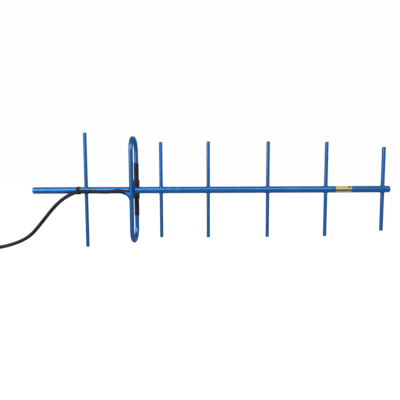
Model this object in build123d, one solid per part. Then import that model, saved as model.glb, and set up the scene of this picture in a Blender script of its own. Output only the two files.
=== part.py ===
from build123d import *
import math
import os

# Yagi antenna. X runs along the boom towards the directors, Z along the rods, -Y is the side the cable is on.
# The origin is on the boom's axis, in the middle of the bare stub that the mast clamp grips.

# Boom
BOOM_R = 9.525
BOOM_BORE_R = 6.325
BOOM_REAR_X = -62.0
BOOM_FRONT_X = 968.0
END_PLUG_LENGTH = 8.0
END_CHAMFER = 0.5

# Longer than anything a cutting shape has to pass through
CUT_THROUGH = 60.0

# Rods, as (name, x, length)
RODS = [
    ("reflector_rod", 90.0, 330.0),
    ("director_rod_1", 307.0, 275.5),
    ("director_rod_2", 443.5, 277.5),
    ("director_rod_3", 616.0, 276.5),
    ("director_rod_4", 784.5, 273.5),
    ("director_rod_5", 949.5, 242.5),
]
ROD_R = 5.0
ROD_HOLE_R = 5.05
BEAD_FOOT_R = 7.2
BEAD_TOP_R = 5.3
BEAD_FOOT_Z = 6.2
BEAD_TOP_Z = 11.2

# Folded dipole: a tube bent into a long loop across the boom
LOOP_X = 224.0
LOOP_R = 6.35
LOOP_BORE_R = 5.45
LOOP_HEIGHT = 315.5
LEG_SPACING = 76.2
LEG_TO_BOOM_GAP = 0.25
FEED_GAP = 10.0
DIPOLE_BEAD_R = 7.5
DIPOLE_BEAD_DEPTH = 7.5

NEAR_Y = -(BOOM_R + LEG_TO_BOOM_GAP + LOOP_R)
FAR_Y = NEAR_Y + LEG_SPACING
MIDDLE_Y = (NEAR_Y + FAR_Y) / 2
BEND_R = LEG_SPACING / 2
STRAIGHT_Z = LOOP_HEIGHT / 2 - LOOP_R - BEND_R

# Entry stub, an elbow that leaves the near leg and turns back along the boom
STUB_R = 6.35
STUB_BORE_R = 5.3
STUB_BEND_R = 26.5
STUB_TILT = 25.0
STUB_JOIN_Z = -31.6
STUB_LEAD = 1.0
STUB_TRIM = 4.0
BOOT_R = 6.4
BOOT_BORE_R = 5.2
BOOT_SECOND_RUN = 19.0

# Feed: the cable's core inside the loop's lower half, and what joins it across the gap
CONDUCTOR_R = 1.10
CONDUCTOR_HOLE_R = 1.15
DIELECTRIC_R = 3.65
BRAID_BORE_R = 3.70
BRAID_R = 4.05
PLUG_IN_TUBE_R = 5.40
BRAID_END_Z = -24.0
FERRULE_START_Z = -44.0
FERRULE_BORE_R = 4.10
INSULATOR_START_Z = -20.0
INSULATOR_END_Z = 14.0
INSULATOR_STEP_Z = 0.5
COLLAR_HALF = 4.9
LUG_START_Z = 15.0
LUG_END_Z = 27.0
SHRINK_R = 7.50
SHRINK_BORE_R = 6.40
SHRINK_LENGTH = 161.5
SLEEVE_R = 9.40
SLEEVE_BORE_R = 7.55
SLEEVE_LENGTH = 58.0

# Cable
CABLE_R = 5.15
FLOOR_Z = -165.0
FIRST_RUN = 15.0
ROUTE = [
    (166.0, -16.2, -3.7),
    (148.0, -16.2, -4.6),
    (104.0, -15.2, -2.6),
    (68.5, -15.0, -2.2),
    (32.0, -15.2, -20.0),
    (2.0, -16.0, -46.2),
    (-31.5, -19.0, -88.7),
    (-62.5, -24.0, -127.0),
    (-95.0, -30.0, -145.5),
    (-142.0, -37.0, -158.6),
    (-195.0, -41.0, -159.8),
    (-245.0, -40.0, -159.8),
]
CORNER_SHARE = 0.45

# Cable tie, a flat strap round boom and cable, leaning a little, with its head behind the boom
TIE_X = 69.5
TIE_WIDTH = 9.0
TIE_THICKNESS = 1.3
TIE_CLEARANCE = 0.8
TIE_LEAN = -8.0
TIE_CABLE_Y = -15.0
TIE_CABLE_Z = -4.2
TIE_HEAD = (9.6, 4.6, 7.0)
TIE_HEAD_Y = 13.5

# Label
LABEL_X = 833.5
LABEL_LENGTH = 45.0
LABEL_THICKNESS = 0.2
LABEL_SEAM_ANGLE = 40.0

# N plug, on an axis along -X. Stations are measured from the plug's rear face towards its mouth.
PLUG_AXIS_Y = -38.0
NUT_R = 10.2
PLUG_AXIS_Z = FLOOR_Z + NUT_R
PLUG_RUN_X = -279.0
PLUG_REAR_X = -311.0
PLUG_NECK_R = 6.7
PLUG_FLANGE_R = 7.6
PLUG_FLANGE = (13.0, 15.0)
PLUG_NOSE_R = 4.95
PLUG_NOSE_END = 17.0
PLUG_FERRULE_R = 4.0
PLUG_FERRULE_END = 27.0
PLUG_BORE_R = 3.5
INSULATOR_SPAN = (4.0, 12.0)
REAR_BORE_R = 2.6
NUT_SPAN = (8.3, 28.0)
NUT_REAR_BORE_R = 6.77
NUT_THREAD_R = 7.95
NUT_WEB_END = 11.8
NUT_HEX_END = 14.5
NUT_HEX_FLATS = 19.0
NUT_GROOVES = 24
NUT_GROOVE_R = 0.6
RING_SPAN = (9.4, 10.4)
RING_INNER_R = 6.15
RING_OUTER_R = 7.3
RING_SEAT_R = 6.1
RING_ROOM_R = 7.4
RING_ROOM = 0.1
GASKET_LENGTH = 1.5
GASKET_R = 7.3
GASKET_BORE_R = 5.0
PIN_R = 1.5
PIN_TIP_R = 0.825
PIN_SHOULDER = 20.0
PIN_END = 25.6
CRIMP_LENGTH = 11.0
CRIMP_R = 6.0
CRIMP_BORE_R = 5.2
WRAP_LENGTH = 16.0
WRAP_WALL = 0.6


def x_cylinder(radius, x0, x1):
    return Pos((x0 + x1) / 2, 0, 0) * Rot(0, 90, 0) * Cylinder(radius, abs(x1 - x0))


def blunted(radius, length):
    bar = Cylinder(radius, length)
    return chamfer(bar.edges().filter_by(GeomType.CIRCLE), END_CHAMFER)


def z_ring(radius, bore, z0, z1):
    ring = Cylinder(radius, z1 - z0) - Cylinder(bore, z1 - z0)
    return Pos(0, 0, (z0 + z1) / 2) * ring


def z_bar(radius, z0, z1):
    return Pos(0, 0, (z0 + z1) / 2) * Cylinder(radius, z1 - z0)


def on_far_leg(shape):
    return Pos(LOOP_X, FAR_Y, 0) * shape


def swept(radius, path):
    start = Plane(origin=path @ 0, z_dir=path % 0)
    return sweep(start * Circle(radius), path)


def write(name, shape):
    shape.label = name
    export_step(shape, f"parts/{name}.step")


# ---- Boom ----


def boom_tube():
    length = BOOM_FRONT_X - BOOM_REAR_X
    tube = Pos(BOOM_REAR_X + length / 2, 0, 0) * Rot(0, 90, 0) * blunted(BOOM_R, length)
    tube -= x_cylinder(BOOM_BORE_R, BOOM_REAR_X, BOOM_FRONT_X)
    for name, x, rod_length in RODS:
        tube -= Pos(x, 0, 0) * Cylinder(ROD_HOLE_R, CUT_THROUGH)
    return tube


def boom_end_plugs():
    rear = x_cylinder(BOOM_BORE_R, BOOM_REAR_X, BOOM_REAR_X + END_PLUG_LENGTH)
    front = x_cylinder(BOOM_BORE_R, BOOM_FRONT_X - END_PLUG_LENGTH, BOOM_FRONT_X)
    return Compound(children=[rear, front])


def weld_bead(x, side):
    height = BEAD_TOP_Z - BEAD_FOOT_Z
    bead = Pos(0, 0, BEAD_FOOT_Z + height / 2) * Cone(BEAD_FOOT_R, BEAD_TOP_R, height)
    bead -= x_cylinder(BOOM_R, -CUT_THROUGH / 2, CUT_THROUGH / 2)
    bead -= Cylinder(ROD_R, CUT_THROUGH)
    if side < 0:
        bead = Rot(180, 0, 0) * bead
    return Pos(x, 0, 0) * bead


def element_weld_beads():
    beads = []
    for name, x, length in RODS:
        beads.append(weld_bead(x, 1))
        beads.append(weld_bead(x, -1))
    return Compound(children=beads)


# ---- Folded dipole ----


def loop_path():
    """From the upper end of the feed gap, over the top, down the near leg and up to the gap's lower end."""
    up = Line((LOOP_X, FAR_Y, FEED_GAP / 2), (LOOP_X, FAR_Y, STRAIGHT_Z))
    over = ThreePointArc(
        (LOOP_X, FAR_Y, STRAIGHT_Z),
        (LOOP_X, MIDDLE_Y, STRAIGHT_Z + BEND_R),
        (LOOP_X, NEAR_Y, STRAIGHT_Z),
    )
    down = Line((LOOP_X, NEAR_Y, STRAIGHT_Z), (LOOP_X, NEAR_Y, -STRAIGHT_Z))
    under = ThreePointArc(
        (LOOP_X, NEAR_Y, -STRAIGHT_Z),
        (LOOP_X, MIDDLE_Y, -STRAIGHT_Z - BEND_R),
        (LOOP_X, FAR_Y, -STRAIGHT_Z),
    )
    back = Line((LOOP_X, FAR_Y, -STRAIGHT_Z), (LOOP_X, FAR_Y, -FEED_GAP / 2))
    return Wire([up, over, down, under, back])


def stub_points():
    """The elbow's arc from the near leg's axis up to its start, and the mouth a short lead beyond."""
    tilt = math.radians(STUB_TILT)
    start_x = LOOP_X - STUB_BEND_R * (1 - math.sin(tilt))
    start_z = STUB_JOIN_Z + STUB_BEND_R * math.cos(tilt)
    half = math.radians((90 - STUB_TILT) / 2)
    middle_x = LOOP_X - STUB_BEND_R * (1 - math.cos(half))
    middle_z = STUB_JOIN_Z + STUB_BEND_R * math.sin(half)
    mouth_x = start_x - STUB_LEAD * math.cos(tilt)
    mouth_z = start_z + STUB_LEAD * math.sin(tilt)
    return (
        Vector(mouth_x, NEAR_Y, mouth_z),
        Vector(start_x, NEAR_Y, start_z),
        Vector(middle_x, NEAR_Y, middle_z),
        Vector(LOOP_X, NEAR_Y, STUB_JOIN_Z),
    )


def stub_path():
    mouth, start, middle, join = stub_points()
    return Wire([Line(mouth, start), ThreePointArc(start, middle, join)])


def core_path(end_z):
    """From the stub's mouth down the near leg, round the lower bend and up the far leg."""
    mouth, start, middle, join = stub_points()
    lead = Line(mouth, start)
    elbow = ThreePointArc(start, middle, join)
    down = Line(join, (LOOP_X, NEAR_Y, -STRAIGHT_Z))
    under = ThreePointArc(
        (LOOP_X, NEAR_Y, -STRAIGHT_Z),
        (LOOP_X, MIDDLE_Y, -STRAIGHT_Z - BEND_R),
        (LOOP_X, FAR_Y, -STRAIGHT_Z),
    )
    back = Line((LOOP_X, FAR_Y, -STRAIGHT_Z), (LOOP_X, FAR_Y, end_z))
    return Wire([lead, elbow, down, under, back])


def near_leg_bar(radius):
    return Pos(LOOP_X, NEAR_Y, 0) * Cylinder(radius, 2 * STRAIGHT_Z)


def dipole_loop_tube():
    path = loop_path()
    tube = swept(LOOP_R, path) - swept(LOOP_BORE_R, path)
    return tube - swept(STUB_BORE_R, stub_path())


def dipole_weld_bead():
    """What fills the crevice between the near leg and the boom's front."""
    centre_y = -(BOOM_R + LEG_TO_BOOM_GAP / 2)
    bead = Pos(LOOP_X, centre_y, 0) * Rot(90, 0, 0) * Cylinder(DIPOLE_BEAD_R, DIPOLE_BEAD_DEPTH)
    bead -= x_cylinder(BOOM_R, LOOP_X - CUT_THROUGH / 2, LOOP_X + CUT_THROUGH / 2)
    bead -= near_leg_bar(LOOP_R)
    bead -= swept(STUB_R, stub_path())
    return bead


def coax_entry_stub():
    path = stub_path()
    stub = swept(STUB_R, path) - swept(STUB_BORE_R, path) - near_leg_bar(LOOP_R)
    below = Pos(LOOP_X, NEAR_Y, STUB_JOIN_Z) * Box(CUT_THROUGH, CUT_THROUGH, 2 * STUB_TRIM)
    return stub - below


def coax_entry_boot():
    """A sleeve round the cable, from the stub's mouth past the cable's first bend."""
    points = cable_points()
    mouth, corner, after = points[:3]
    end = corner + (after - corner).normalized() * BOOT_SECOND_RUN
    path = FilletPolyline(mouth, corner, end, radius=corner_radii(points)[0])
    return swept(BOOT_R, path) - swept(BOOT_BORE_R, path)


def feed_tube(radius, bore, end_z):
    path = core_path(end_z)
    return swept(radius, path) - swept(bore, path)


def feed_gap_insulator():
    body = z_bar(PLUG_IN_TUBE_R, INSULATOR_START_Z, INSULATOR_END_Z)
    body += z_bar(LOOP_R, -COLLAR_HALF, COLLAR_HALF)
    body -= z_bar(BRAID_BORE_R, INSULATOR_START_Z, INSULATOR_STEP_Z)
    body -= z_bar(CONDUCTOR_HOLE_R, INSULATOR_STEP_Z, INSULATOR_END_Z)
    return on_far_leg(body)


# ---- Cable ----


def cable_points():
    """The whole route, from the stub's mouth, straight out of it first, to the plug's rear face."""
    mouth, start, middle, join = stub_points()
    points = [mouth, mouth + (mouth - start).normalized() * FIRST_RUN]
    for x, y, z in ROUTE:
        points.append(Vector(x, y, z))
    points.append(Vector(PLUG_RUN_X, PLUG_AXIS_Y, PLUG_AXIS_Z))
    points.append(Vector(PLUG_REAR_X, PLUG_AXIS_Y, PLUG_AXIS_Z))
    return points


def corner_radii(points):
    radii = []
    for before, here, after in zip(points, points[1:], points[2:]):
        turn = math.radians((here - before).get_angle(after - here))
        shorter = min((here - before).length, (after - here).length)
        radii.append(CORNER_SHARE * shorter / math.tan(turn / 2))
    return radii


def coax_pigtail():
    points = cable_points()
    radii = corner_radii(points)
    path = FilletPolyline(*points, radius=radii)
    cable = swept(CABLE_R, path)
    print("cable runs", [round((b - a).length, 1) for a, b in zip(points, points[1:])])
    print("cable radii", [round(r, 1) for r in radii])
    print("cable length", round(path.length, 1))
    print("volume over section x length", cable.volume / (math.pi * CABLE_R**2 * path.length))
    return cable


def band(offset):
    """The taut outline round boom and cable, that far out from both, in a plane across the boom."""
    boom = Circle(BOOM_R + offset)
    cable = Pos(TIE_CABLE_Y, TIE_CABLE_Z) * Circle(CABLE_R + offset)
    return make_hull(boom.edges() + cable.edges())


def cable_tie():
    flat = band(TIE_CLEARANCE + TIE_THICKNESS) - band(TIE_CLEARANCE)
    across_boom = Plane(origin=(0, 0, 0), x_dir=(0, 1, 0), z_dir=(1, 0, 0))
    strap = Pos(-TIE_WIDTH / 2, 0, 0) * extrude(across_boom * flat, TIE_WIDTH)
    head_x, head_y, head_z = TIE_HEAD
    head = Pos(0, TIE_HEAD_Y, 0) * Box(head_x, head_y, head_z)
    return Pos(TIE_X, 0, 0) * Rot(0, TIE_LEAN, 0) * (strap + head)


# ---- Label ----


def boom_label():
    x0 = LABEL_X - LABEL_LENGTH / 2
    x1 = LABEL_X + LABEL_LENGTH / 2
    sheet = x_cylinder(BOOM_R + LABEL_THICKNESS, x0, x1) - x_cylinder(BOOM_R, x0, x1)
    half = CUT_THROUGH * math.tan(math.radians(LABEL_SEAM_ANGLE / 2))
    wedge = Polygon((0, 0), (CUT_THROUGH, half), (CUT_THROUGH, -half), align=None)
    across_boom = Plane(origin=(x0 - 1, 0, 0), x_dir=(0, 1, 0), z_dir=(1, 0, 0))
    return sheet - extrude(across_boom * wedge, LABEL_LENGTH + 2)


# ---- Plug ----


def on_plug_axis(shape):
    """Turns a shape whose +Z is the plug's axis to face along -X, with its zero at the plug's rear face."""
    return Pos(PLUG_REAR_X, PLUG_AXIS_Y, PLUG_AXIS_Z) * Rot(0, -90, 0) * shape


def plug_body():
    body = z_bar(PLUG_NECK_R, 0, PLUG_FLANGE[0])
    body += z_bar(PLUG_FLANGE_R, *PLUG_FLANGE)
    body += z_bar(PLUG_NOSE_R, PLUG_FLANGE[1], PLUG_NOSE_END)
    body += z_bar(PLUG_FERRULE_R, PLUG_NOSE_END, PLUG_FERRULE_END)
    body -= z_bar(REAR_BORE_R, 0, INSULATOR_SPAN[0])
    body -= z_bar(PLUG_BORE_R, INSULATOR_SPAN[0], PLUG_FERRULE_END)
    seat_from = RING_SPAN[0] - RING_ROOM
    seat_to = RING_SPAN[1] + RING_ROOM
    body -= z_ring(PLUG_NECK_R, RING_SEAT_R, seat_from, seat_to)
    return on_plug_axis(body)


def plug_coupling_nut():
    hexagon = RegularPolygon(NUT_HEX_FLATS / 2, 6, major_radius=False)
    nut = Pos(0, 0, NUT_SPAN[0]) * extrude(hexagon, NUT_HEX_END - NUT_SPAN[0])
    nut &= z_bar(NUT_R, *NUT_SPAN)
    nut += Pos(0, 0, (NUT_HEX_END + NUT_SPAN[1]) / 2) * blunted(NUT_R, NUT_SPAN[1] - NUT_HEX_END)
    nut -= z_bar(NUT_REAR_BORE_R, NUT_SPAN[0], NUT_WEB_END)
    nut -= z_bar(NUT_THREAD_R, NUT_WEB_END, NUT_SPAN[1])
    room_from = RING_SPAN[0] - RING_ROOM
    room_to = RING_SPAN[1] + RING_ROOM
    nut -= z_bar(RING_ROOM_R, room_from, room_to)
    for i in range(NUT_GROOVES):
        groove = z_bar(NUT_GROOVE_R, NUT_HEX_END + 1, NUT_SPAN[1])
        nut -= Rot(0, 0, (i + 0.5) * 360 / NUT_GROOVES) * Pos(NUT_R, 0, 0) * groove
    return on_plug_axis(nut)


def plug_centre_pin():
    pin = z_bar(PIN_R, 0, PIN_SHOULDER) + z_bar(PIN_TIP_R, PIN_SHOULDER, PIN_END)
    return on_plug_axis(pin)


def plug_heat_shrink():
    """Shrunk over the crimp and, behind it, down on to the cable."""
    over_crimp = z_ring(CRIMP_R + WRAP_WALL, CRIMP_R, -CRIMP_LENGTH, 0)
    over_cable = z_ring(CRIMP_R + WRAP_WALL / 2, CRIMP_BORE_R, -WRAP_LENGTH, -CRIMP_LENGTH)
    return on_plug_axis(over_crimp + over_cable)


os.makedirs("parts", exist_ok=True)

write("boom_tube", boom_tube())
write("boom_end_plugs", boom_end_plugs())
for name, x, length in RODS:
    write(name, Pos(x, 0, 0) * blunted(ROD_R, length))
write("element_weld_beads", element_weld_beads())
write("dipole_loop_tube", dipole_loop_tube())
write("dipole_weld_bead", dipole_weld_bead())
write("coax_entry_stub", coax_entry_stub())
write("coax_entry_boot", coax_entry_boot())
write("feed_braid", feed_tube(BRAID_R, BRAID_BORE_R, BRAID_END_Z))
write("feed_dielectric", feed_tube(DIELECTRIC_R, CONDUCTOR_HOLE_R, 0))
write("feed_centre_conductor", swept(CONDUCTOR_R, core_path(LUG_END_Z)))
write("feed_gap_insulator", feed_gap_insulator())
ferrule = z_ring(PLUG_IN_TUBE_R, FERRULE_BORE_R, FERRULE_START_Z, BRAID_END_Z)
write("feed_braid_ferrule", on_far_leg(ferrule))
lug = z_ring(PLUG_IN_TUBE_R, CONDUCTOR_HOLE_R, LUG_START_Z, LUG_END_Z)
write("feed_solder_lug", on_far_leg(lug))
shrink = z_ring(SHRINK_R, SHRINK_BORE_R, -SHRINK_LENGTH / 2, SHRINK_LENGTH / 2)
write("feed_heat_shrink", on_far_leg(shrink))
sleeve = z_ring(SLEEVE_R, SLEEVE_BORE_R, -SLEEVE_LENGTH / 2, SLEEVE_LENGTH / 2)
write("feed_centre_sleeve", on_far_leg(sleeve))
write("coax_pigtail", coax_pigtail())
write("cable_tie", cable_tie())
write("boom_label", boom_label())
write("plug_body", plug_body())
write("plug_coupling_nut", plug_coupling_nut())
ring = z_ring(RING_OUTER_R, RING_INNER_R, *RING_SPAN)
write("plug_retaining_ring", on_plug_axis(ring))
write("plug_centre_pin", plug_centre_pin())
insulator = z_ring(PLUG_BORE_R, PIN_R, *INSULATOR_SPAN)
write("plug_insulator", on_plug_axis(insulator))
gasket = z_ring(GASKET_R, GASKET_BORE_R, PLUG_FLANGE[1], PLUG_FLANGE[1] + GASKET_LENGTH)
write("plug_gasket", on_plug_axis(gasket))
crimp = z_ring(CRIMP_R, CRIMP_BORE_R, -CRIMP_LENGTH, 0)
write("plug_crimp_ferrule", on_plug_axis(crimp))
write("plug_heat_shrink", plug_heat_shrink())
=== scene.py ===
import math
import random

import bmesh
import bpy
from mathutils import Matrix, Vector

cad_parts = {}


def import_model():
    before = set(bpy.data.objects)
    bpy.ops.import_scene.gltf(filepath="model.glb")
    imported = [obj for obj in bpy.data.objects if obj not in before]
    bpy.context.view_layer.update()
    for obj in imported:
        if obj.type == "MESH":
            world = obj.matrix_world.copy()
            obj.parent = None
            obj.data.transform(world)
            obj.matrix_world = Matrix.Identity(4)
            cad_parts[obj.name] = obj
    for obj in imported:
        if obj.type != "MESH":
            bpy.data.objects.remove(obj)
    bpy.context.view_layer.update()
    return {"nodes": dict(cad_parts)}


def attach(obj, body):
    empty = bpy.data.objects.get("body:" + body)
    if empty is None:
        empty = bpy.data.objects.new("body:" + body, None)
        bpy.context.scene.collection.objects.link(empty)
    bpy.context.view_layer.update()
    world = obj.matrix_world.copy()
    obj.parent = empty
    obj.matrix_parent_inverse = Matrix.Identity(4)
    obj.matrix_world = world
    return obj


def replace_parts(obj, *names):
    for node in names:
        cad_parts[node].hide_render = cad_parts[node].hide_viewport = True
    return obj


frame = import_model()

MM = 0.001
ANTENNA = "antenna"

# The object's sizes that the pieces made here need, in mm, as in the CAD model
BOOM_R = 9.525
ROD_R = 5.0
LOOP_R = 6.35
LOOP_X = 224.0
NEAR_Y = -16.125
FAR_Y = 60.075
FLOOR_Z = -165.0
CABLE_D = 10.3
ROD_X = {
    "reflector_rod": 90.0,
    "director_rod_1": 307.0,
    "director_rod_2": 443.5,
    "director_rod_3": 616.0,
    "director_rod_4": 784.5,
    "director_rod_5": 949.5,
}

# ---- Camera ----

# In metres and degrees: down from level, turned about Z, and tilted about the line of sight
CAMERA_PLACE = (0.417, -0.928, 0.0387)
CAMERA_DOWN = 4.2
CAMERA_YAW = -0.15
CAMERA_ROLL = -0.23
CAMERA_LENS = 28.8


def make_camera():
    data = bpy.data.cameras.new("camera")
    data.lens = CAMERA_LENS
    data.sensor_width = 36.0
    data.clip_start = 0.01
    camera = bpy.data.objects.new("camera", data)
    bpy.context.scene.collection.objects.link(camera)
    turn = Matrix.Rotation(math.radians(CAMERA_YAW), 4, "Z")
    turn = turn @ Matrix.Rotation(math.radians(90 - CAMERA_DOWN), 4, "X")
    turn = turn @ Matrix.Rotation(math.radians(CAMERA_ROLL), 4, "Z")
    camera.matrix_world = Matrix.Translation(CAMERA_PLACE) @ turn
    bpy.context.scene.camera = camera


make_camera()
bpy.context.scene.view_settings.view_transform = "Standard"


# ---- Making pieces ----


def link(obj, body=ANTENNA, material=None):
    bpy.context.scene.collection.objects.link(obj)
    if material is not None:
        obj.data.materials.clear()
        obj.data.materials.append(material)
    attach(obj, body)
    return obj


def mesh_object(name, verts, faces, smooth=True):
    mesh = bpy.data.meshes.new(name)
    mesh.from_pydata([[c * MM for c in v] for v in verts], [], faces)
    mesh.update()
    tidy = bmesh.new()
    tidy.from_mesh(mesh)
    bmesh.ops.remove_doubles(tidy, verts=tidy.verts, dist=1e-7)
    bmesh.ops.recalc_face_normals(tidy, faces=tidy.faces)
    tidy.to_mesh(mesh)
    tidy.free()
    for polygon in mesh.polygons:
        polygon.use_smooth = smooth
    return bpy.data.objects.new(name, mesh)


def ring_mesh(name, sections, closed=True):
    """Joins closed outlines in turn, and then the last to the first, or else caps both ends."""
    verts = [p for section in sections for p in section]
    n = len(sections[0])
    count = len(sections)
    faces = []
    for i in range(count if closed else count - 1):
        for j in range(n):
            a = i * n + j
            b = i * n + (j + 1) % n
            c = ((i + 1) % count) * n + (j + 1) % n
            d = ((i + 1) % count) * n + j
            faces.append((a, b, c, d))
    if not closed:
        faces.append(tuple(range(n)))
        faces.append(tuple(range((count - 1) * n, count * n)))
    return mesh_object(name, verts, faces)


def axis_frame(place, direction):
    """A matrix whose Z points along the direction, at the place."""
    turn = Vector(direction).to_track_quat("Z", "Y").to_matrix().to_4x4()
    return Matrix.Translation(place) @ turn


def upright_axis(x, y):
    def at(height):
        return axis_frame((x, y, height), (0, 0, 1))

    return at


def revolve(name, profile, axis, segments=64, wobble=None):
    """Turns a closed outline of (radius, distance) pairs about an axis.

    axis(distance) is the matrix there, with Z along the axis. wobble(angle, distance) scales the radius.
    """
    sections = []
    for i in range(segments):
        angle = 2 * math.pi * i / segments
        section = []
        for radius, along in profile:
            r = radius * (wobble(angle, along) if wobble else 1.0)
            local = Vector((r * math.cos(angle), r * math.sin(angle), 0.0))
            section.append(axis(along) @ local)
        sections.append(section)
    return ring_mesh(name, sections)


# ---- Materials ----


class Shader:
    """A node material: one Principled shader, and the few kinds of node that feed it."""

    def __init__(self, name):
        self.material = bpy.data.materials.new(name)
        self.material.use_nodes = True
        self.tree = self.material.node_tree
        self.shader = self.tree.nodes["Principled BSDF"]
        self.place = self.add("ShaderNodeTexCoord").outputs["Object"]

    def add(self, kind):
        return self.tree.nodes.new(kind)

    def join(self, source, target):
        self.tree.links.new(source, target)

    def put(self, socket, value):
        if isinstance(value, bpy.types.NodeSocket):
            self.join(value, socket)
        else:
            socket.default_value = value

    def set(self, **values):
        for name, value in values.items():
            self.shader.inputs[name.replace("_", " ")].default_value = value

    def to_shader(self, name, source):
        self.join(source, self.shader.inputs[name])

    def math(self, operation, a, b=0.0):
        node = self.add("ShaderNodeMath")
        node.operation = operation
        self.put(node.inputs[0], a)
        self.put(node.inputs[1], b)
        return node.outputs[0]

    def split(self):
        node = self.add("ShaderNodeSeparateXYZ")
        self.join(self.place, node.inputs[0])
        return node.outputs

    def stretched(self, scale):
        """The object's own coordinates, scaled differently along each axis."""
        node = self.add("ShaderNodeMapping")
        self.join(self.place, node.inputs["Vector"])
        node.inputs["Scale"].default_value = scale
        return node.outputs[0]

    def noise(self, scale, detail=3.0, place=None):
        node = self.add("ShaderNodeTexNoise")
        self.join(place or self.place, node.inputs["Vector"])
        node.inputs["Scale"].default_value = scale
        node.inputs["Detail"].default_value = detail
        return node.outputs[0]

    def ranged(self, source, low, high, from_low=0.3, from_high=0.7):
        node = self.add("ShaderNodeMapRange")
        self.join(source, node.inputs["Value"])
        node.inputs["From Min"].default_value = from_low
        node.inputs["From Max"].default_value = from_high
        node.inputs["To Min"].default_value = low
        node.inputs["To Max"].default_value = high
        return node.outputs[0]

    def mix(self, factor, a, b):
        node = self.add("ShaderNodeMix")
        node.data_type = "RGBA"
        self.put(node.inputs[0], factor)
        self.put(node.inputs[6], a if isinstance(a, bpy.types.NodeSocket) else (*a, 1.0))
        self.put(node.inputs[7], b if isinstance(b, bpy.types.NodeSocket) else (*b, 1.0))
        return node.outputs[2]

    def bump(self, height, strength, distance):
        node = self.add("ShaderNodeBump")
        node.inputs["Strength"].default_value = strength
        node.inputs["Distance"].default_value = distance
        self.join(height, node.inputs["Height"])
        return node.outputs[0]

    def between(self, source, low, high, soft):
        """1 where the source lies between two values, with soft edges, else 0."""
        rise = self.ranged(source, 0.0, 1.0, low - soft, low + soft)
        fall = self.ranged(source, 1.0, 0.0, high - soft, high + soft)
        return self.math("MULTIPLY", rise, fall)


BLUE_DEEP = (0.0022, 0.056, 0.180)
BLUE = (0.0036, 0.069, 0.220)
BLUE_EDGE = (0.2, 0.4, 0.8, 1.0)


def blue_coat(name, grain_mm=0.5, grain_depth_mm=0.004):
    m = Shader(name)
    m.to_shader("Base Color", m.mix(m.ranged(m.noise(45, 2.0), 0.0, 1.0), BLUE_DEEP, BLUE))
    m.to_shader("Roughness", m.ranged(m.noise(260, 4.0), 0.34, 0.42))
    m.set(Metallic=1.0, Specular_Tint=BLUE_EDGE, Coat_Weight=0.25, Coat_Roughness=0.30)
    grain = m.noise(1 / (grain_mm * MM), 2.0)
    m.to_shader("Normal", m.bump(grain, 0.25, grain_depth_mm * MM))
    return m.material


BLACK_GLOSS = 0.08


def black_shrink(name, tint=(0.0035, 0.0035, 0.0080)):
    m = Shader(name)
    worn = tuple(2.2 * c for c in tint)
    m.to_shader("Base Color", m.mix(m.ranged(m.noise(120, 4.0), 0.0, 1.0), tint, worn))
    m.to_shader("Roughness", m.ranged(m.noise(500, 4.0), 0.42, 0.58))
    m.set(Specular_IOR_Level=BLACK_GLOSS)
    lines = m.noise(1200, 2.0, m.stretched((1.0, 1.0, 0.12)))
    m.to_shader("Normal", m.bump(lines, 0.35, 0.03 * MM))
    return m.material


def black_jacket(name):
    m = Shader(name)
    dark = (0.0025, 0.0025, 0.0080)
    worn = (0.0060, 0.0055, 0.0130)
    m.to_shader("Base Color", m.mix(m.ranged(m.noise(90, 3.0), 0.0, 1.0), dark, worn))
    m.to_shader("Roughness", m.ranged(m.noise(700, 3.0), 0.38, 0.52))
    m.set(Specular_IOR_Level=BLACK_GLOSS)
    m.to_shader("Normal", m.bump(m.noise(2200, 3.0), 0.25, 0.02 * MM))
    return m.material


def black_nylon(name):
    m = Shader(name)
    m.to_shader("Base Color", m.mix(m.noise(300, 2.0), (0.0030, 0.0025, 0.0070), (0.0070, 0.0060, 0.0120)))
    m.to_shader("Roughness", m.ranged(m.noise(900, 3.0), 0.34, 0.46))
    m.set(Specular_IOR_Level=BLACK_GLOSS)
    m.to_shader("Normal", m.bump(m.noise(1500, 2.0), 0.2, 0.02 * MM))
    return m.material


def plated(name, colour, rough=(0.16, 0.28)):
    m = Shader(name)
    dark = tuple(0.8 * c for c in colour)
    m.to_shader("Base Color", m.mix(m.ranged(m.noise(240, 3.0), 0.0, 1.0), dark, colour))
    m.to_shader("Roughness", m.ranged(m.noise(900, 4.0), *rough))
    m.set(Metallic=1.0)
    m.to_shader("Normal", m.bump(m.noise(2500, 2.0), 0.12, 0.01 * MM))
    return m.material


def plastic(name, colour, rough=(0.4, 0.55)):
    m = Shader(name)
    dark = tuple(0.85 * c for c in colour)
    m.to_shader("Base Color", m.mix(m.noise(200, 2.0), dark, colour))
    m.to_shader("Roughness", m.ranged(m.noise(600, 3.0), *rough))
    m.to_shader("Normal", m.bump(m.noise(1800, 2.0), 0.15, 0.02 * MM))
    return m.material


def braided(name, colour):
    m = Shader(name)
    weave = m.noise(1600, 1.0)
    dark = tuple(0.45 * c for c in colour)
    m.to_shader("Base Color", m.mix(m.ranged(weave, 0.0, 1.0), dark, colour))
    m.to_shader("Roughness", m.ranged(weave, 0.30, 0.5))
    m.set(Metallic=1.0)
    m.to_shader("Normal", m.bump(weave, 0.5, 0.1 * MM))
    return m.material


# The label's two ends along the boom, and its colours
LABEL_X0 = 811.0
LABEL_X1 = 856.0
LABEL_OLIVE = (0.245, 0.205, 0.032)
LABEL_LINE = (0.008, 0.022, 0.005)
LABEL_PALE = (0.105, 0.145, 0.100)
LABEL_TAN = (0.17, 0.17, 0.08)
LABEL_MARK = (0.11, 0.09, 0.02)
LABEL_SPOT = (0.012, 0.005, 0.001)


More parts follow.
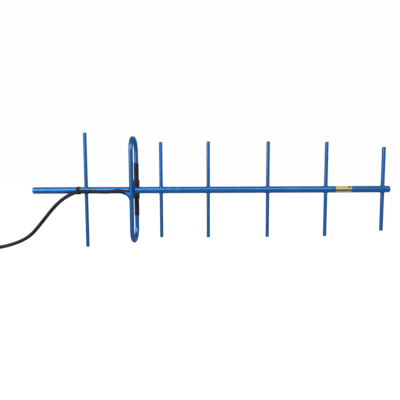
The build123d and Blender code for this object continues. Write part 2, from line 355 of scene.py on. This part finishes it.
def label_film(name):
    """Bands that run along the boom, told apart by height, with rows of small blocks that spell nothing."""
    m = Shader(name)
    x, y, z = m.split()
    # From -1 at the boom's lowest line to 1 at its highest
    height = m.math("DIVIDE", z, BOOM_R * MM)
    faded = tuple(0.86 * c for c in LABEL_OLIVE)
    colour = m.mix(m.ranged(m.noise(220, 3.0), 0.0, 1.0), faded, LABEL_OLIVE)
    soft = 0.03
    colour = m.mix(m.between(height, -2.0, -0.43, soft), colour, LABEL_PALE)
    colour = m.mix(m.between(height, -2.0, -0.73, soft), colour, LABEL_TAN)
    colour = m.mix(m.between(height, -0.43, 0.03, soft), colour, LABEL_LINE)
    blocks = m.noise(700, 0.0, m.stretched((1.0, 0.0, 0.02)))
    printed = m.between(blocks, 0.52, 2.0, 0.01)
    for low, high in ((0.16, 0.26), (0.42, 0.54)):
        row = m.math("MULTIPLY", printed, m.between(height, low, high, 0.02))
        inside = m.between(x, (LABEL_X0 + 5) * MM, (LABEL_X1 - 14) * MM, 0.0002)
        colour = m.mix(m.math("MULTIPLY", row, inside), colour, LABEL_MARK)
    spot = m.between(x, (LABEL_X1 - 10) * MM, (LABEL_X1 - 3) * MM, 0.0003)
    spot = m.math("MULTIPLY", spot, m.between(height, 0.45, 0.95, 0.03))
    colour = m.mix(spot, colour, LABEL_SPOT)
    m.to_shader("Base Color", colour)
    m.to_shader("Roughness", m.ranged(m.noise(500, 3.0), 0.32, 0.45))
    m.set(Specular_IOR_Level=0.3, Coat_Weight=0.1, Coat_Roughness=0.15)
    m.to_shader("Normal", m.bump(m.noise(900, 3.0), 0.15, 0.02 * MM))
    return m.material


COAT = blue_coat("blue_coat")
WELD = blue_coat("blue_weld", 0.9, 0.02)
SHRINK = black_shrink("black_shrink")
SLEEVE = black_shrink("black_sleeve", (0.0055, 0.0040, 0.0085))
JACKET = black_jacket("black_jacket")
NYLON = black_nylon("black_nylon")
NICKEL = plated("nickel", (0.46, 0.45, 0.42))
GOLD = plated("gold_contact", (0.78, 0.52, 0.16))
TINNED = plated("tinned", (0.55, 0.55, 0.54), (0.3, 0.45))
BRAID = braided("copper_braid", (0.60, 0.28, 0.14))
CLEAR = plastic("clear_plastic", (0.75, 0.76, 0.72))
PTFE = plastic("white_insulator", (0.82, 0.82, 0.80))
GASKET = plastic("gasket_rubber", (0.30, 0.05, 0.04))
LABEL = label_film("label_film")

CARRIED_OVER = {
    "boom_tube": COAT,
    "boom_end_plugs": COAT,
    "dipole_loop_tube": COAT,
    "coax_entry_stub": COAT,
    "boom_label": LABEL,
    "feed_braid": BRAID,
    "feed_centre_conductor": BRAID,
    "feed_dielectric": CLEAR,
    "feed_gap_insulator": PTFE,
    "feed_braid_ferrule": TINNED,
    "feed_solder_lug": TINNED,
    "plug_body": NICKEL,
    "plug_coupling_nut": NICKEL,
    "plug_crimp_ferrule": NICKEL,
    "plug_retaining_ring": GOLD,
    "plug_centre_pin": GOLD,
    "plug_insulator": PTFE,
    "plug_gasket": GASKET,
    "plug_heat_shrink": SHRINK,
}
for rod in ROD_X:
    CARRIED_OVER[rod] = COAT
for node, material in CARRIED_OVER.items():
    mesh = frame["nodes"][node].data
    mesh.materials.clear()
    mesh.materials.append(material)

# ---- Cable ----

# In mm: the stub's mouth, then the points that the CAD model's cable turns at, then its end in the plug
CABLE_ROUTE = [
    (207.79, -16.125, -7.16),
    (194.20, -16.125, -0.82),
    (166.0, -16.2, -3.7),
    (148.0, -16.2, -4.6),
    (104.0, -15.2, -2.6),
    (68.5, -15.0, -2.2),
    (32.0, -15.2, -20.0),
    (2.0, -16.0, -46.2),
    (-31.5, -19.0, -88.7),
    (-62.5, -24.0, -127.0),
    (-95.0, -30.0, -145.5),
    (-142.0, -37.0, -158.6),
    (-195.0, -41.0, -159.8),
    (-245.0, -40.0, -159.8),
    (-279.0, -38.0, -154.8),
    (-311.0, -38.0, -154.8),
]


def cable():
    """The jacket, on one smooth line along the route."""
    curve = bpy.data.curves.new("coax_cable", "CURVE")
    curve.dimensions = "3D"
    curve.bevel_depth = CABLE_D * MM / 2
    curve.bevel_resolution = 8
    curve.resolution_u = 24
    curve.use_fill_caps = True
    spline = curve.splines.new("NURBS")
    spline.points.add(len(CABLE_ROUTE) - 1)
    for point, place in zip(spline.points, CABLE_ROUTE):
        point.co = (*[c * MM for c in place], 1.0)
    spline.order_u = 3
    spline.use_endpoint_u = True
    spline.use_smooth = True
    piece = link(bpy.data.objects.new("coax_cable", curve), ANTENNA, JACKET)
    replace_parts(piece, "coax_pigtail")


cable()


# ---- Weld beads ----

RIPPLE_MM = 0.16
RIPPLE_PITCH = 1.9
BEAD_STEPS = 120
# How far a bead's toes reach under the skins that it joins
SINK = 0.15


def ripple(along, across):
    """Overlapping scales: each rises slowly and drops at its edge, and is bowed across the bead."""
    phase = along / RIPPLE_PITCH - 0.5 * (across - 0.5) ** 2
    saw = phase - math.floor(phase)
    return RIPPLE_MM * (1.0 - saw) * min(1.0, saw / 0.15)


def fillet_section(toe_low, toe_high, root, bulge, along, steps=8):
    """A weld's cut face: a convex line between its two toes, closed through the root."""
    chord = toe_high - toe_low
    middle = (toe_low + toe_high) / 2
    outward = (middle - root).normalized()
    outline = []
    for k in range(steps + 1):
        t = k / steps
        swell = bulge * math.sin(math.pi * t) + ripple(along, t) * math.sin(math.pi * t)
        outline.append(toe_low + chord * t + outward * swell)
    outline.append(root)
    return outline


BEAD_LEG = 1.7
BEAD_BULGE = 0.2
BEAD_ROOT_DEPTH = 0.5


def rod_bead(name, x, side):
    """The fillet round a rod where it leaves the boom, following the boom's curve."""
    sections = []
    for i in range(BEAD_STEPS):
        angle = 2 * math.pi * i / BEAD_STEPS
        c = math.cos(angle)
        s = math.sin(angle)
        leg = BEAD_LEG * (1 + 0.06 * math.sin(3 * angle + x) + 0.04 * math.sin(7 * angle + 2 * x))

        def on_boom(r, up=0.0):
            return math.sqrt(BOOM_R**2 - (r * s) ** 2) + up

        toe_r = ROD_R + leg
        toe_low = Vector((x + toe_r * c, toe_r * s, side * on_boom(toe_r, -SINK)))
        inner = ROD_R - SINK
        toe_high = Vector((x + inner * c, inner * s, side * on_boom(ROD_R, leg)))
        root = Vector((x + inner * c, inner * s, side * on_boom(ROD_R, -BEAD_ROOT_DEPTH)))
        along = angle * (ROD_R + BEAD_LEG / 2)
        sections.append(fillet_section(toe_low, toe_high, root, BEAD_BULGE, along))
    return ring_mesh(name, sections)


DIPOLE_BEAD_GAP = 4.2
DIPOLE_BEAD_BULGE = 0.1


def dipole_bead():
    """Fills the crevice round the near leg's contact with the boom, out to where the gap is that wide."""
    sections = []
    for i in range(BEAD_STEPS):
        angle = 2 * math.pi * i / BEAD_STEPS
        c = math.cos(angle)
        s = math.sin(angle)

        def boom_y(r):
            return -math.sqrt(BOOM_R**2 - (r * s) ** 2)

        def leg_y(r):
            return NEAR_Y + math.sqrt(LOOP_R**2 - (r * c) ** 2)

        low = 0.0
        high = LOOP_R
        for step in range(30):
            middle = (low + high) / 2
            if boom_y(middle) - leg_y(middle) < DIPOLE_BEAD_GAP:
                low = middle
            else:
                high = middle
        r = low
        toe_boom = Vector((LOOP_X + r * c, boom_y(r) + SINK, r * s))
        toe_leg = Vector((LOOP_X + r * c, leg_y(r) - SINK, r * s))
        deep = 0.6 * r
        root = Vector((LOOP_X + deep * c, (boom_y(deep) + leg_y(deep)) / 2, deep * s))
        sections.append(fillet_section(toe_boom, toe_leg, root, DIPOLE_BEAD_BULGE, angle * r))
    return ring_mesh("dipole_bead", sections)


STUB_BEND_R = 26.5
STUB_R = 6.35
STUB_JOIN_Z = -31.6
STUB_TILT = 25.0
STUB_BEAD_R = 2.6
# How far round the elbow, to each side of its top, the bead goes
STUB_BEAD_REACH = 87


def stub_point(turn, around, radius):
    """A point on the elbow: turn is the angle up from the joint, around goes about the centre line."""
    out = STUB_BEND_R - (STUB_BEND_R + radius * math.cos(around)) * math.cos(turn)
    up = (STUB_BEND_R + radius * math.cos(around)) * math.sin(turn)
    return Vector((LOOP_X - out, NEAR_Y + radius * math.sin(around), STUB_JOIN_Z + up))


def stub_joint(steps=96):
    """The line where the elbow's skin comes out of the near leg's, from side to side over the top."""
    line = []
    for i in range(steps + 1):
        around = math.radians(STUB_BEAD_REACH * (2 * i / steps - 1))
        low = 0.0
        high = math.radians(90 - STUB_TILT)
        for step in range(40):
            middle = (low + high) / 2
            p = stub_point(middle, around, STUB_R)
            if math.hypot(p.x - LOOP_X, p.y - NEAR_Y) < LOOP_R:
                low = middle
            else:
                high = middle
        line.append(stub_point(low, around, STUB_R))
    return line


def stub_bead(sides=14):
    """A rounded bead half sunk along that line, thickest in the crotch, thin at both ends."""
    line = stub_joint()
    last = len(line) - 1
    sections = []
    along = 0.0
    for i, place in enumerate(line):
        before = line[max(i - 1, 0)]
        after = line[min(i + 1, last)]
        along += (place - before).length
        swell = 0.25 + 0.75 * math.sin(math.pi * i / last)
        radius = STUB_BEAD_R * swell + ripple(along, 0.5)
        frame_here = axis_frame(place, after - before)
        section = []
        for k in range(sides):
            angle = 2 * math.pi * k / sides
            section.append(frame_here @ Vector((radius * math.cos(angle), radius * math.sin(angle), 0.0)))
        sections.append(section)
    return ring_mesh("stub_bead", sections, closed=False)


for rod, x in ROD_X.items():
    for side, word in ((1, "top"), (-1, "bottom")):
        bead = link(rod_bead(f"weld_{rod}_{word}", x, side), ANTENNA, WELD)
        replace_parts(bead, "element_weld_beads")
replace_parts(link(dipole_bead(), ANTENNA, WELD), "dipole_weld_bead")
link(stub_bead(), ANTENNA, WELD)


# ---- Sleeves and boot ----


def unevenness(seed, amount):
    """A slow, repeatable variation of a radius round and along a sleeve."""
    draw = random.Random(seed)
    waves = []
    for k in range(5):
        waves.append((draw.randint(1, 4), draw.uniform(0.02, 0.12), draw.uniform(0, 6.28)))

    def at(angle, along):
        total = 0.0
        for around, pitch, start in waves:
            total += math.sin(around * angle + pitch * 6.28 * along / 10 + start)
        return 1.0 + amount * total / len(waves)

    return at


def sleeve_profile(outer, inner, half, shoulder, steps=60):
    """Outer skin from one end to the other with rounded shoulders, then back along the bore."""
    outline = []
    for k in range(7):
        a = math.pi / 2 * k / 6
        outline.append((inner + (outer - inner) * math.sin(a), -half + shoulder * (1 - math.cos(a))))
    for k in range(1, steps):
        outline.append((outer, -half + shoulder + 2 * (half - shoulder) * k / steps))
    for k in range(6, -1, -1):
        a = math.pi / 2 * k / 6
        outline.append((inner + (outer - inner) * math.sin(a), half - shoulder * (1 - math.cos(a))))
    outline.append((inner, half))
    outline.append((inner, -half))
    return outline


THIN_SLEEVE = sleeve_profile(outer=7.50, inner=6.37, half=80.75, shoulder=1.2)
THICK_SLEEVE = sleeve_profile(outer=9.38, inner=7.55, half=29.0, shoulder=4.0)
# (radius, distance out of the stub's mouth), along the outer skin; the outline closes along the bore
BOOT_PROFILE = [
    (5.16, 0.0),
    (6.35, 0.0),
    (6.45, 0.5),
    (6.45, 18.0),
    (6.35, 26.0),
    (6.20, 31.0),
    (5.95, 33.0),
    (5.16, 34.0),
]


def cable_axis(distance):
    """The frame on the cable's centre line that far out of the stub, within the cable's first two spans."""
    a, b, c, d = [Vector(point) for point in CABLE_ROUTE[:4]]
    for start, corner, end in ((a, b, (b + c) / 2), ((b + c) / 2, c, (c + d) / 2)):
        length = (corner - start).length + (end - corner).length
        if distance <= length:
            break
        distance -= length
    t = distance / length
    place = start * (1 - t) ** 2 + corner * 2 * t * (1 - t) + end * t**2
    heading = (corner - start) * (1 - t) + (end - corner) * t
    return axis_frame(place, heading)


def filled(profile, pitch=1.0):
    """The same outline with points added on its long straight runs, so that it can bend."""
    outline = []
    for (r0, z0), (r1, z1) in zip(profile, profile[1:] + profile[:1]):
        count = max(1, round(abs(z1 - z0) / pitch))
        for k in range(count):
            outline.append((r0 + (r1 - r0) * k / count, z0 + (z1 - z0) * k / count))
    return outline


thin = revolve("feed_thin_sleeve", THIN_SLEEVE, upright_axis(LOOP_X, FAR_Y), 64, unevenness(3, 0.006))
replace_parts(link(thin, ANTENNA, SHRINK), "feed_heat_shrink")
thick = revolve("feed_thick_sleeve", THICK_SLEEVE, upright_axis(LOOP_X, FAR_Y), 72, unevenness(8, 0.008))
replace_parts(link(thick, ANTENNA, SLEEVE), "feed_centre_sleeve")
boot = revolve("cable_boot", filled(BOOT_PROFILE), cable_axis, 48, unevenness(5, 0.004))
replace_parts(link(boot, ANTENNA, SHRINK), "coax_entry_boot")


# ---- Cable tie ----

TIE_X = 69.5
TIE_WIDTH = 9.0
TIE_THICK = 1.3
TIE_RIDGE = 0.12
TIE_EDGE = 0.35
TIE_SIDE = 0.85
TIE_LEAN = 8.0
# The cable's centre under the tie, as (y, z), and the radii that the strap lies on
TIE_CABLE = (-15.0, -4.2)
TIE_CABLE_R = 5.75
TIE_BOOM_R = 9.6


def taut_outline(boom_r, cable_r, steps=28):
    """Points and outward normals round the boom and the cable, as a tight strap lies."""
    cy, cz = TIE_CABLE
    apart = math.hypot(cy, cz)
    towards = math.atan2(cz, cy)
    open_half = math.acos((boom_r - cable_r) / apart)
    points = []
    start = towards + open_half
    sweep = 2 * math.pi - 2 * open_half
    for k in range(steps + 1):
        a = start + sweep * k / steps
        points.append((boom_r * math.cos(a), boom_r * math.sin(a), a))
    for k in range(steps // 2 + 1):
        a = towards - open_half + 2 * open_half * k / (steps // 2)
        points.append((cy + cable_r * math.cos(a), cz + cable_r * math.sin(a), a))
    return points


def strap():
    """The tie's band: flat inside, with bevelled edges and a low ridge along its middle outside."""
    half = TIE_WIDTH / 2
    right = [
        (0.0, half),
        (TIE_SIDE, half),
        (TIE_THICK, half - TIE_EDGE),
        (TIE_THICK, 0.3 * half),
        (TIE_THICK + TIE_RIDGE, 0.26 * half),
    ]
    left = [(out, -across) for out, across in reversed(right)]
    section = [left[-1]] + right + left[:-1]
    lean = math.tan(math.radians(TIE_LEAN))
    sections = []
    for y, z, a in taut_outline(TIE_BOOM_R, TIE_CABLE_R):
        cut = []
        for out, across in section:
            py = y + out * math.cos(a)
            pz = z + out * math.sin(a)
            cut.append((TIE_X + across - lean * pz, py, pz))
        sections.append(cut)
    return ring_mesh("tie_strap", sections)


def rounded_box(name, low, high, edge):
    """A box with bevelled edges, in mm."""
    size = Vector(high) - Vector(low)
    centre = (Vector(high) + Vector(low)) / 2
    build = bmesh.new()
    bmesh.ops.create_cube(build, size=1.0)
    for v in build.verts:
        v.co = Vector((v.co.x * size.x, v.co.y * size.y, v.co.z * size.z)) + centre
    bmesh.ops.bevel(build, geom=list(build.edges), offset=edge, segments=3, affect="EDGES", profile=0.5)
    for v in build.verts:
        v.co *= MM
    mesh = bpy.data.meshes.new(name)
    build.to_mesh(mesh)
    build.free()
    for polygon in mesh.polygons:
        polygon.use_smooth = False
    return bpy.data.objects.new(name, mesh)


tie_strap = link(strap(), ANTENNA, NYLON)
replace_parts(tie_strap, "cable_tie")
HEAD_LOW = (TIE_X - 5.0, 10.6, -3.5)
HEAD_HIGH = (TIE_X + 4.6, 15.2, 3.5)
link(rounded_box("tie_head", HEAD_LOW, HEAD_HIGH, 0.7), ANTENNA, NYLON)


# ---- Floor and light ----


FLOOR_R = 12.0
FLOOR_SIDES = 64
FLOOR_GLOW = 0.76
WORLD_GLOW = 0.99


def floor():
    """A wide pale disc under the object, which meets a world of the same tone at the horizon."""
    ring = []
    for k in range(FLOOR_SIDES):
        a = 2 * math.pi * k / FLOOR_SIDES
        ring.append((FLOOR_R * math.cos(a) / MM, FLOOR_R * math.sin(a) / MM, FLOOR_Z))
    piece = mesh_object("studio_floor", ring, [tuple(range(FLOOR_SIDES))], smooth=False)
    bpy.context.scene.collection.objects.link(piece)
    paper = Shader("floor_paper")
    paper.to_shader("Base Color", paper.mix(paper.noise(3, 1.0), (0.19, 0.19, 0.19), (0.21, 0.21, 0.21)))
    paper.set(Roughness=0.9, Specular_IOR_Level=0.1)
    paper.set(Emission_Color=(1.0, 1.0, 1.0, 1.0), Emission_Strength=FLOOR_GLOW)
    piece.data.materials.append(paper.material)


def area_light(name, place, aim, size, power):
    data = bpy.data.lights.new(name, "AREA")
    data.shape = "RECTANGLE"
    data.size, data.size_y = size
    data.energy = power
    light = bpy.data.objects.new(name, data)
    bpy.context.scene.collection.objects.link(light)
    direction = Vector(aim) - Vector(place)
    turn = direction.to_track_quat("-Z", "Y").to_matrix().to_4x4()
    light.matrix_world = Matrix.Translation(place) @ turn
    light.visible_camera = False


def world(strength):
    scene_world = bpy.data.worlds.new("studio")
    bpy.context.scene.world = scene_world
    scene_world.use_nodes = True
    sky = scene_world.node_tree.nodes["Background"]
    sky.inputs["Color"].default_value = (1.0, 1.0, 1.0, 1.0)
    sky.inputs["Strength"].default_value = strength


floor()
world(WORLD_GLOW)
area_light("softbox_left", place=(-0.65, -2.40, 1.60), aim=(0.15, 0.0, 0.0), size=(1.45, 0.85), power=48)
area_light("softbox_right", place=(1.55, -2.40, 1.60), aim=(0.70, 0.0, 0.0), size=(1.20, 0.80), power=32)
area_light("softbox_back", place=(0.10, 2.40, 1.70), aim=(0.35, 0.0, 0.0), size=(1.60, 0.60), power=15)
area_light("strip_top", place=(0.42, -0.38, 0.46), aim=(0.42, 0.0, 0.10), size=(1.50, 0.10), power=3.2)
area_light("strip_left", place=(-1.50, -1.90, 0.75), aim=(0.40, 0.0, 0.05), size=(0.35, 0.90), power=48)
